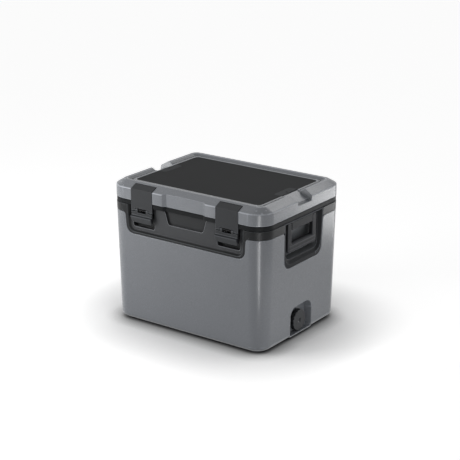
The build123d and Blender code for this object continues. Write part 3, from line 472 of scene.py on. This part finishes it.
def moulded_grain_group():
    """Fine pebble height, speckle and large soft patches of a moulded surface."""
    found = bpy.data.node_groups.get("moulded_grain")
    if found:
        return found
    tree = bpy.data.node_groups.new("moulded_grain", "ShaderNodeTree")
    socket(tree, "Vector", "NodeSocketVector", "INPUT")
    socket(tree, "Grain Scale", "NodeSocketFloat", "INPUT", DARK_GRAIN["grain"])
    socket(tree, "Patch Scale", "NodeSocketFloat", "INPUT", PATCHES_PER_METRE)
    for name in ("Height", "Speckle", "Patches"):
        socket(tree, name, "NodeSocketFloat", "OUTPUT")
    start = add(tree, "NodeGroupInput")
    end = add(tree, "NodeGroupOutput")
    pebbles = add(tree, "ShaderNodeTexVoronoi", feature="SMOOTH_F1")
    speckle = add(tree, "ShaderNodeTexNoise")
    speckle.inputs["Detail"].default_value = SPECKLE_DETAIL
    patches = add(tree, "ShaderNodeTexNoise")
    patches.inputs["Detail"].default_value = PATCH_DETAIL
    for texture, scale in (
        (pebbles, "Grain Scale"),
        (speckle, "Grain Scale"),
        (patches, "Patch Scale"),
    ):
        tree.links.new(start.outputs["Vector"], texture.inputs["Vector"])
        tree.links.new(start.outputs[scale], texture.inputs["Scale"])
    height = value_math(tree, "ADD", pebbles.outputs["Distance"], speckle.outputs["Fac"])
    tree.links.new(height, end.inputs["Height"])
    tree.links.new(speckle.outputs["Fac"], end.inputs["Speckle"])
    tree.links.new(patches.outputs["Fac"], end.inputs["Patches"])
    return tree


def soft_edges_group():
    """Rounded normal, and a mask that pales the edges of a piece as rubbing and painted highlight."""
    found = bpy.data.node_groups.get("soft_edges")
    if found:
        return found
    tree = bpy.data.node_groups.new("soft_edges", "ShaderNodeTree")
    socket(tree, "Radius", "NodeSocketFloat", "INPUT", EDGE_RADIUS)
    socket(tree, "Normal", "NodeSocketVector", "OUTPUT")
    socket(tree, "Rub", "NodeSocketFloat", "OUTPUT")
    start = add(tree, "NodeGroupInput")
    end = add(tree, "NodeGroupOutput")
    rounded = add(tree, "ShaderNodeBevel", samples=EDGE_RAYS)
    tree.links.new(start.outputs["Radius"], rounded.inputs["Radius"])
    surface = add(tree, "ShaderNodeNewGeometry")
    facing = add(tree, "ShaderNodeVectorMath", operation="DOT_PRODUCT")
    tree.links.new(rounded.outputs["Normal"], facing.inputs[0])
    tree.links.new(surface.outputs["Normal"], facing.inputs[1])
    rub = add(tree, "ShaderNodeMapRange")
    rub.inputs["From Min"].default_value = EDGE_HIGHLIGHT_STARTS
    rub.inputs["From Max"].default_value = EDGE_HIGHLIGHT_FULL
    tree.links.new(facing.outputs["Value"], rub.inputs["Value"])
    marked = add(tree, "ShaderNodeAttribute", attribute_name=EDGE_HIGHLIGHT_MARK)
    tree.links.new(rounded.outputs["Normal"], end.inputs["Normal"])
    either = value_math(tree, "MAXIMUM", rub.outputs["Result"], marked.outputs["Fac"])
    tree.links.new(either, end.inputs["Rub"])
    return tree


def open_faces_group():
    """One on open faces, falling towards nought in recesses and gaps; it darkens base colours as painted
    shade.
    """
    found = bpy.data.node_groups.get("open_faces")
    if found:
        return found
    tree = bpy.data.node_groups.new("open_faces", "ShaderNodeTree")
    socket(tree, "Reach", "NodeSocketFloat", "INPUT", RECESS_REACH)
    socket(tree, "Depth", "NodeSocketFloat", "INPUT", 1.0)
    socket(tree, "Open", "NodeSocketFloat", "OUTPUT")
    start = add(tree, "NodeGroupInput")
    end = add(tree, "NodeGroupOutput")
    hidden = add(tree, "ShaderNodeAmbientOcclusion", samples=RECESS_RAYS)
    tree.links.new(start.outputs["Reach"], hidden.inputs["Distance"])
    deepened = value_math(tree, "POWER", hidden.outputs["AO"], start.outputs["Depth"])
    tree.links.new(deepened, end.inputs["Open"])
    return tree


def tone_group():
    """Base colour with soft patches, fine speckle, edges paled by rubbing and by painted highlight, and
    painted shade in recesses.
    """
    found = bpy.data.node_groups.get("tone")
    if found:
        return found
    tree = bpy.data.node_groups.new("tone", "ShaderNodeTree")
    socket(tree, "Color", "NodeSocketColor", "INPUT")
    for name, default in (
        ("Patches", 0.5),
        ("Patch Amount", 0.1),
        ("Speckle", 0.5),
        ("Speckle Amount", 0.1),
        ("Rub", 0.0),
        ("Rub Amount", 0.2),
        ("Open", 1.0),
    ):
        socket(tree, name, "NodeSocketFloat", "INPUT", default)
    socket(tree, "Color", "NodeSocketColor", "OUTPUT")
    start = add(tree, "NodeGroupInput")
    end = add(tree, "NodeGroupOutput")
    total = 1.0
    for name, amount, middle in (
        ("Patches", "Patch Amount", 0.5),
        ("Speckle", "Speckle Amount", 0.5),
        ("Rub", "Rub Amount", 0.0),
    ):
        centred = value_math(tree, "SUBTRACT", start.outputs[name], middle)
        scaled = value_math(tree, "MULTIPLY", centred, start.outputs[amount])
        total = value_math(tree, "ADD", scaled, total)
    total = value_math(tree, "MULTIPLY", total, start.outputs["Open"])
    toned = add(tree, "ShaderNodeVectorMath", operation="SCALE")
    tree.links.new(start.outputs["Color"], toned.inputs[0])
    tree.links.new(total, toned.inputs["Scale"])
    tree.links.new(toned.outputs["Vector"], end.inputs["Color"])
    return tree


def placed_group(tree, group, **values):
    """Places a node group and sets its inputs by their names."""
    node = add(tree, "ShaderNodeGroup", node_tree=group)
    for name, number in values.items():
        node.inputs[name.replace("_", " ").title()].default_value = number
    return node


def finish_name(name):
    """The name of a finish's material."""
    return "finish_" + name


def made_finish(name):
    """A finish that was made before, or nothing."""
    return bpy.data.materials.get(finish_name(name))


def moulded(
    name,
    base,
    roughness,
    grain,
    depth,
    gloss=0.5,
    spread=0.15,
    patch=0.10,
    speckle=0.10,
    rub=0.25,
    shade=0.3,
    reach=RECESS_REACH,
    edge=EDGE_RADIUS,
):
    """Moulded plastic or rubber: the depth and the edge are in metres, rub and shade are amounts; the
    first pales edges by rubbing and painted highlight, shade darkens recesses as painted shade.
    """
    found = made_finish(name)
    if found:
        return found
    material = bpy.data.materials.new(finish_name(name))
    material.use_nodes = True
    tree = material.node_tree
    shader = tree.nodes["Principled BSDF"]
    shader.inputs["Specular IOR Level"].default_value = gloss
    place = add(tree, "ShaderNodeTexCoord")
    surface = placed_group(tree, moulded_grain_group(), grain_scale=grain)
    tree.links.new(place.outputs["Object"], surface.inputs["Vector"])
    # Paler edges: partly rubbing, mostly painted highlight
    edges = placed_group(tree, soft_edges_group(), radius=edge)
    # Painted shade: the base colour darkens in recesses and gaps
    recess = placed_group(tree, open_faces_group(), reach=reach, depth=shade)
    tone = placed_group(
        tree,
        tone_group(),
        color=(*base, 1.0),
        patch_amount=patch,
        speckle_amount=speckle,
        rub_amount=rub,
    )
    for source, kind in (
        (surface, "Patches"),
        (surface, "Speckle"),
        (edges, "Rub"),
        (recess, "Open"),
    ):
        tree.links.new(source.outputs[kind], tone.inputs[kind])
    tree.links.new(tone.outputs["Color"], shader.inputs["Base Color"])
    centred = value_math(tree, "SUBTRACT", surface.outputs["Speckle"], 0.5)
    varied = value_math(tree, "MULTIPLY", centred, spread)
    tree.links.new(value_math(tree, "ADD", varied, roughness), shader.inputs["Roughness"])
    bump = add(tree, "ShaderNodeBump")
    bump.inputs["Strength"].default_value = GRAIN_STRENGTH
    bump.inputs["Distance"].default_value = depth
    tree.links.new(surface.outputs["Height"], bump.inputs["Height"])
    tree.links.new(edges.outputs["Normal"], bump.inputs["Normal"])
    tree.links.new(bump.outputs["Normal"], shader.inputs["Normal"])
    return material


def two_toned(name, base, other, mask, **values):
    """Moulded plastic with another base colour in a mask that is made from the place on the piece."""
    found = made_finish(name)
    if found:
        return found
    material = moulded(name, base, **values)
    tree = material.node_tree
    tone = next(n for n in tree.nodes if n.type == "GROUP" and n.node_tree.name == "tone")
    mix = add(tree, "ShaderNodeMix", data_type="RGBA")
    sockets = {s.name: s for s in mix.inputs if s.type == "RGBA"}
    sockets["A"].default_value = tone.inputs["Color"].default_value
    sockets["B"].default_value = (*other, 1.0)
    place = add(tree, "ShaderNodeTexCoord")
    parts = add(tree, "ShaderNodeSeparateXYZ")
    tree.links.new(place.outputs["Object"], parts.inputs[0])
    tree.links.new(mask(tree, parts.outputs), mix.inputs["Factor"])
    tree.links.new(next(s for s in mix.outputs if s.type == "RGBA"), tone.inputs["Color"])
    return material


def front_panel_mask(tree, place):
    """The flat front panel inside the collar's border, and less of it in the lift recess, as painted
    shade.
    """
    across = size_of(tree, place["X"])
    inside = value_math(tree, "LESS_THAN", across, FRONT_PANEL_REACH)
    off = size_of(tree, value_math(tree, "SUBTRACT", place["Y"], FRONT_PANEL_Y))
    level = value_math(tree, "LESS_THAN", off, FRONT_PANEL_STEP)
    panel = value_math(tree, "MULTIPLY", inside, level)
    # Painted shade: the lift recess takes part of the collar's darker colour
    deep = value_math(tree, "GREATER_THAN", place["Y"], LIFT_Y)
    faded = value_math(tree, "MULTIPLY", deep, LIFT_SHADE_FADE)
    return value_math(tree, "MULTIPLY", panel, value_math(tree, "SUBTRACT", 1.0, faded))


def pocket_light_mask(tree, place):
    """The inside of a handle housing, where a lighter tone is painted light."""
    return value_math(tree, "LESS_THAN", size_of(tree, place["X"]), POCKET_X)


# Finishes of this cooler


def shell_finish():
    return moulded(
        "shell_grey", colours().shell, roughness=0.27, **GLOSSY_GRAIN, rub=0.6, shade=0.0, edge=0.0022
    )


def lid_finish():
    return moulded(
        "lid_grey", colours().lid, roughness=0.27, **GLOSSY_GRAIN, rub=1.0, shade=0.7, edge=0.0020
    )


def collar_finish():
    return two_toned(
        "collar_charcoal",
        colours().collar,
        colours().front,
        front_panel_mask,
        **DARK_GRAIN,
        roughness=0.37,
        gloss=0.18,
        rub=3.0,
        shade=0.8,
        edge=0.0018,
    )


def frame_finish():
    return moulded(
        "frame_charcoal", colours().collar, roughness=0.50, **DARK_GRAIN, gloss=0.08, rub=2.0, edge=0.0014
    )


def handle_finish():
    # Painted shade darkens the handles under the housings' lintels
    return moulded(
        "handle_charcoal",
        colours().handle,
        roughness=0.50,
        **DARK_GRAIN,
        gloss=0.10,
        rub=1.2,
        shade=0.8,
        edge=0.0014,
    )


def housing_finish():
    # The lighter colour inside the housings is painted light
    return two_toned(
        "housing_charcoal",
        colours().housing,
        colours().pocket_painted_light,
        pocket_light_mask,
        **DARK_GRAIN,
        roughness=0.50,
        gloss=0.07,
        rub=4.0,
        shade=0.0,
        edge=0.0018,
    )


def latch_finish():
    return moulded(
        "latch_charcoal",
        colours().latch,
        roughness=0.46,
        **DARK_GRAIN,
        gloss=0.22,
        rub=2.0,
        shade=0.6,
        edge=0.0012,
    )


def panel_finish():
    # A strong, short-reaching painted shade darkens the panel in a thin band beside the lid's rim
    return moulded(
        "panel_black",
        colours().panel,
        roughness=0.78,
        **PANEL_GRAIN,
        gloss=0.08,
        speckle=0.3,
        shade=1.5,
        reach=0.012,
    )


def inlay_finish():
    return moulded("inlay_charcoal", colours().inlay, roughness=0.7, **INLAY_GRAIN, gloss=0.10, shade=0.0)


def liner_finish():
    return moulded("liner_light", colours().liner, roughness=0.38, **LINER_GRAIN, rub=0.05)


def foam_finish():
    return moulded("foam", colours().foam, roughness=0.9, **FOAM_GRAIN, gloss=0.1, speckle=0.4)


def rubber_finish():
    return moulded("rubber_black", colours().rubber, roughness=0.72, **RUBBER_GRAIN, gloss=0.3)


def drain_finish():
    return moulded("drain_black", colours().drain, roughness=0.40, **DRAIN_GRAIN, gloss=0.2, rub=0.5)


def hinge_finish():
    return moulded("hinge_charcoal", colours().hinge, roughness=0.48, **DARK_GRAIN, gloss=0.15, rub=0.6)


def metal(name, base, roughness):
    """Drawn steel with a fine grain."""
    material = moulded(name, base, roughness, **STEEL_GRAIN, spread=0.2, patch=0.15, rub=0.1)
    material.node_tree.nodes["Principled BSDF"].inputs["Metallic"].default_value = 1.0
    return material


def steel_finish():
    return metal("steel", colours().steel, roughness=0.28)


def dark_steel_finish():
    return metal("dark_steel", colours().dark_steel, roughness=0.55)


# Operators, one for each piece or group of like pieces


class COOLER_OT_tub(Operator):
    """Rounds and finishes the grey tub shell"""

    bl_idname = "cooler.tub"
    bl_label = "Tub Shell"

    def execute(self, context):
        rounded_node("outer_shell", sizes().shell_edge, shell_finish())
        return {"FINISHED"}


class COOLER_OT_collar(Operator):
    """Rounds and finishes the dark collar with its front panel"""

    bl_idname = "cooler.collar"
    bl_label = "Collar"

    def execute(self, context):
        rounded_node("collar_frame", sizes().collar_edge, collar_finish())
        return {"FINISHED"}


class COOLER_OT_handles(Operator):
    """Rounds and finishes the end housings, brackets and swing handles"""

    bl_idname = "cooler.handles"
    bl_label = "Handles"

    def execute(self, context):
        for side in SIDES:
            housing = "handle_housing_" + side
            bracket = "handle_bracket_" + side
            rounded_node(
                housing,
                sizes().housing_edge,
                housing_finish(),
                split=True,
                rework=fill_shoulders,
            )
            rounded_node(bracket, sizes().handle_edge, handle_finish(), split=True)
            rounded_node("handle_" + side, sizes().handle_edge, handle_finish())
            rounded_node("handle_pin_" + side, sizes().pin_edge, steel_finish())
        return {"FINISHED"}


class COOLER_OT_lid(Operator):
    """Rounds and finishes the lid shell, its dark frame, its top panel and the inlays"""

    bl_idname = "cooler.lid"
    bl_label = "Lid"

    def execute(self, context):
        rounded_node("lid_shell", sizes().lid_edge, lid_finish(), split=True)
        rounded_node("lid_frame", sizes().frame_edge, frame_finish())
        rounded_node("lid_top_panel", sizes().panel_edge, panel_finish())
        for side in SIDES:
            rounded_node("lid_end_plate_" + side, sizes().panel_edge, inlay_finish())
        return {"FINISHED"}


class COOLER_OT_latches(Operator):
    """Rounds and finishes the straps, levers, keepers and their pins"""

    bl_idname = "cooler.latches"
    bl_label = "Latches"

    def execute(self, context):
        for side in SIDES:
            rounded_node("latch_strap_" + side, sizes().latch_edge, latch_finish())
            rounded_node("latch_lever_" + side, sizes().latch_edge, latch_finish())
            rounded_node("latch_keeper_" + side, sizes().hinge_edge, hinge_finish())
            rounded_node("strap_pin_" + side, sizes().pin_edge, steel_finish())
            rounded_node("lever_pin_" + side, sizes().pin_edge, dark_steel_finish())
        return {"FINISHED"}


class COOLER_OT_drain(Operator):
    """Rounds and finishes the drain knob, its bushing, lock nut and seal"""

    bl_idname = "cooler.drain"
    bl_label = "Drain"

    def execute(self, context):
        for node in ("drain_knob", "drain_bushing", "drain_lock_nut"):
            rounded_node(node, sizes().drain_edge, drain_finish())
        rounded_node("drain_seal", sizes().drain_edge, rubber_finish())
        return {"FINISHED"}


class COOLER_OT_hinges(Operator):
    """Rounds and finishes the rear hinges"""

    bl_idname = "cooler.hinges"
    bl_label = "Hinges"

    def execute(self, context):
        for side in SIDES:
            for leaf in ("hinge_tub_leaf_", "hinge_lid_leaf_"):
                rounded_node(leaf + side, sizes().hinge_edge, hinge_finish())
            rounded_node("hinge_pin_" + side, sizes().pin_edge, steel_finish())
        return {"FINISHED"}


class COOLER_OT_screws(Operator):
    """Recesses and finishes the screws of the keepers, the hinges and the inlays"""

    bl_idname = "cooler.screws"
    bl_label = "Screws"

    def execute(self, context):
        for node, reach in (
            ("keeper_screws", KEEPER_SCREW_X),
            ("hinge_tub_screws", HINGE_SCREW_X),
            ("hinge_lid_screws", HINGE_SCREW_X),
        ):
            low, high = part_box(node)
            front = node == "keeper_screws"
            face = low[AXIS_Y] + CROSS_SINK if front else high[AXIS_Y] - CROSS_SINK
            middle = (low[AXIS_Z] + high[AXIS_Z]) / 2
            places = [(turn * x, face, middle) for turn in (-1, 1) for x in reach]
            rework = recess_screws(places, AXIS_Y)
            rounded_node(node, sizes().pin_edge, steel_finish(), rework=rework)
        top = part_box("lid_plate_screws")[1][AXIS_Z] - CROSS_SINK
        rework = recess_screws([(turn * INLAY_SCREW_X, 0.0, top) for turn in (-1, 1)], AXIS_Z)
        rounded_node(
            "lid_plate_screws", sizes().pin_edge, dark_steel_finish(), rework=rework
        )
        return {"FINISHED"}


class COOLER_OT_rubber(Operator):
    """Rounds and finishes the lid seal and the feet"""

    bl_idname = "cooler.rubber"
    bl_label = "Seal and Feet"

    def execute(self, context):
        rounded_node("lid_gasket", sizes().seal_edge, rubber_finish())
        rounded_node("rubber_feet", sizes().foot_edge, rubber_finish())
        return {"FINISHED"}


class COOLER_OT_inside(Operator):
    """Finishes the inner tub, the lid pan and the foam"""

    bl_idname = "cooler.inside"
    bl_label = "Inside"

    def execute(self, context):
        for node in ("inner_liner", "lid_liner"):
            rounded_node(node, sizes().panel_edge, liner_finish())
        for node in ("body_insulation", "lid_insulation"):
            rounded_node(node, sizes().pin_edge, foam_finish())
        return {"FINISHED"}


# Stage


def seen_by_eye(tree, level):
    """A level for rays from the camera, and one for reflections and rays through clear pieces."""
    ray = add(tree, "ShaderNodeLightPath")
    seen = value_math(tree, "MULTIPLY", ray.outputs["Is Camera Ray"], level)
    for kind in ("Is Glossy Ray", "Is Transmission Ray"):
        seen = value_math(tree, "MAXIMUM", seen, ray.outputs[kind])
    return seen


def painted_floor_shadow(tree, reach, depth):
    """Painted shadow factor: one where nothing stands near, falling towards nought beside the cooler."""
    probe = add(tree, "ShaderNodeAmbientOcclusion", samples=FLOOR_RAYS)
    probe.inputs["Distance"].default_value = reach
    return value_math(tree, "POWER", probe.outputs["AO"], depth)


def floor_finish(lift):
    """Pale floor that reads as white where no painted shadow falls."""
    material = bpy.data.materials.new("pale_floor")
    material.use_nodes = True
    tree = material.node_tree
    shader = tree.nodes["Principled BSDF"]
    shader.inputs["Roughness"].default_value = FLOOR_ROUGHNESS
    shader.inputs["Specular IOR Level"].default_value = 0.0
    # Painted shadow: the floor's colour and its white lift for the eye fall off beside the cooler
    wide = painted_floor_shadow(tree, SHADOW_REACH, SHADOW_DEPTH)
    near = painted_floor_shadow(tree, CONTACT_REACH, CONTACT_DEPTH)
    shadowed_floor_tint = add(tree, "ShaderNodeVectorMath", operation="SCALE")
    shadowed_floor_tint.inputs[0].default_value = colours().floor
    tree.links.new(near, shadowed_floor_tint.inputs["Scale"])
    tree.links.new(shadowed_floor_tint.outputs["Vector"], shader.inputs["Base Color"])
    seen = seen_by_eye(tree, value_math(tree, "MULTIPLY", near, wide))
    shader.inputs["Emission Color"].default_value = WHITE
    tree.links.new(value_math(tree, "MULTIPLY", seen, lift), shader.inputs["Emission Strength"])
    return material


def studio_air(stage):
    """Even light from all round; eyes and reflections meet plain white."""
    world = bpy.data.worlds.new("studio_air")
    bpy.context.scene.world = world
    world.use_nodes = True
    tree = world.node_tree
    tree.nodes.clear()
    way = add(tree, "ShaderNodeTexCoord")
    parts = add(tree, "ShaderNodeSeparateXYZ")
    tree.links.new(way.outputs["Generated"], parts.inputs[0])
    level = add(tree, "ShaderNodeMapRange")
    level.inputs["To Min"].default_value = stage.side_air
    level.inputs["To Max"].default_value = stage.top_air
    tree.links.new(parts.outputs["Z"], level.inputs["Value"])
    light = add(tree, "ShaderNodeBackground")
    tree.links.new(level.outputs["Result"], light.inputs["Strength"])
    white = add(tree, "ShaderNodeBackground")
    mix = add(tree, "ShaderNodeMixShader")
    tree.links.new(seen_by_eye(tree, 1.0), mix.inputs["Fac"])
    tree.links.new(light.outputs[0], mix.inputs[1])
    tree.links.new(white.outputs[0], mix.inputs[2])
    for background in (light, white):
        background.inputs["Color"].default_value = WHITE
    out = add(tree, "ShaderNodeOutputWorld")
    tree.links.new(mix.outputs[0], out.inputs["Surface"])


def soft_light(name, place, aim, width, height, power):
    """A rectangular soft light that faces a point."""
    way = (Vector(aim) - Vector(place)).to_track_quat("-Z", "Y")
    bpy.ops.object.light_add(type="AREA", location=place, rotation=way.to_euler())
    lamp = bpy.context.active_object
    lamp.name = name
    lamp.data.shape = "RECTANGLE"
    lamp.data.size = width
    lamp.data.size_y = height
    lamp.data.energy = power
    lamp.visible_camera = False
    return lamp


class COOLER_OT_stage(Operator):
    """Sets the pale floor, the soft light and the camera"""

    bl_idname = "cooler.stage"
    bl_label = "Stage"

    def execute(self, context):
        stage = context.scene.cooler_stage
        bpy.ops.object.select_all(action="DESELECT")
        bpy.ops.mesh.primitive_circle_add(
            vertices=FLOOR_CORNERS, radius=FLOOR_RADIUS, fill_type="NGON"
        )
        floor = context.active_object
        floor.name = "floor"
        floor.data.materials.append(floor_finish(stage.floor_lift))
        soft_light("key_light", *KEY_LIGHT, stage.key_power)
        soft_light("back_light", *BACK_LIGHT, stage.back_power)
        card = soft_light("card_light", *CARD_LIGHT, stage.card_power)
        strip = soft_light("strip_light", *STRIP_LIGHT, stage.strip_power)
        low = soft_light("low_light", *LOW_LIGHT, stage.low_power)
        top = soft_light("top_light", *TOP_LIGHT, stage.top_power)
        for lamp in (card, strip, top):
            lamp.visible_diffuse = False
        low.visible_glossy = False
        studio_air(stage)
        across = math.cos(stage.elevation)
        gaze = Vector(
            (
                -math.sin(stage.azimuth) * across,
                math.cos(stage.azimuth) * across,
                -math.sin(stage.elevation),
            )
        )
        turn = gaze.to_track_quat("-Z", "Y").to_euler()
        bpy.ops.object.camera_add(location=stage.eye, rotation=turn)
        camera = context.active_object
        camera.data.lens = stage.lens
        context.scene.camera = camera
        context.scene.view_settings.view_transform = "Standard"
        return {"FINISHED"}


class COOLER_PT_panel(Panel):
    """Lists the cooler's steps and values"""

    bl_idname = "COOLER_PT_panel"
    bl_label = "Cooler"
    bl_space_type = "VIEW_3D"
    bl_region_type = "UI"
    bl_category = "Cooler"

    def draw(self, context):
        layout = self.layout
        for step in STEPS:
            layout.operator(step.bl_idname)
        scene = context.scene
        for group in (scene.cooler_sizes, scene.cooler_colours, scene.cooler_stage):
            box = layout.box()
            for name in group.__annotations__:
                box.prop(group, name)


GROUPS = (CoolerSizes, CoolerColours, CoolerStage)
STEPS = (
    COOLER_OT_tub,
    COOLER_OT_collar,
    COOLER_OT_handles,
    COOLER_OT_lid,
    COOLER_OT_latches,
    COOLER_OT_drain,
    COOLER_OT_hinges,
    COOLER_OT_screws,
    COOLER_OT_rubber,
    COOLER_OT_inside,
    COOLER_OT_stage,
)


def register():
    for item in GROUPS + STEPS + (COOLER_PT_panel,):
        bpy.utils.register_class(item)
    bpy.types.Scene.cooler_sizes = PointerProperty(type=CoolerSizes)
    bpy.types.Scene.cooler_colours = PointerProperty(type=CoolerColours)
    bpy.types.Scene.cooler_stage = PointerProperty(type=CoolerStage)


def unregister():
    del bpy.types.Scene.cooler_stage
    del bpy.types.Scene.cooler_colours
    del bpy.types.Scene.cooler_sizes
    for item in reversed(GROUPS + STEPS + (COOLER_PT_panel,)):
        bpy.utils.unregister_class(item)


def main():
    register()
    for step in STEPS:
        family, action = step.bl_idname.split(".")
        getattr(getattr(bpy.ops, family), action)()


if __name__ == "__main__":
    main()
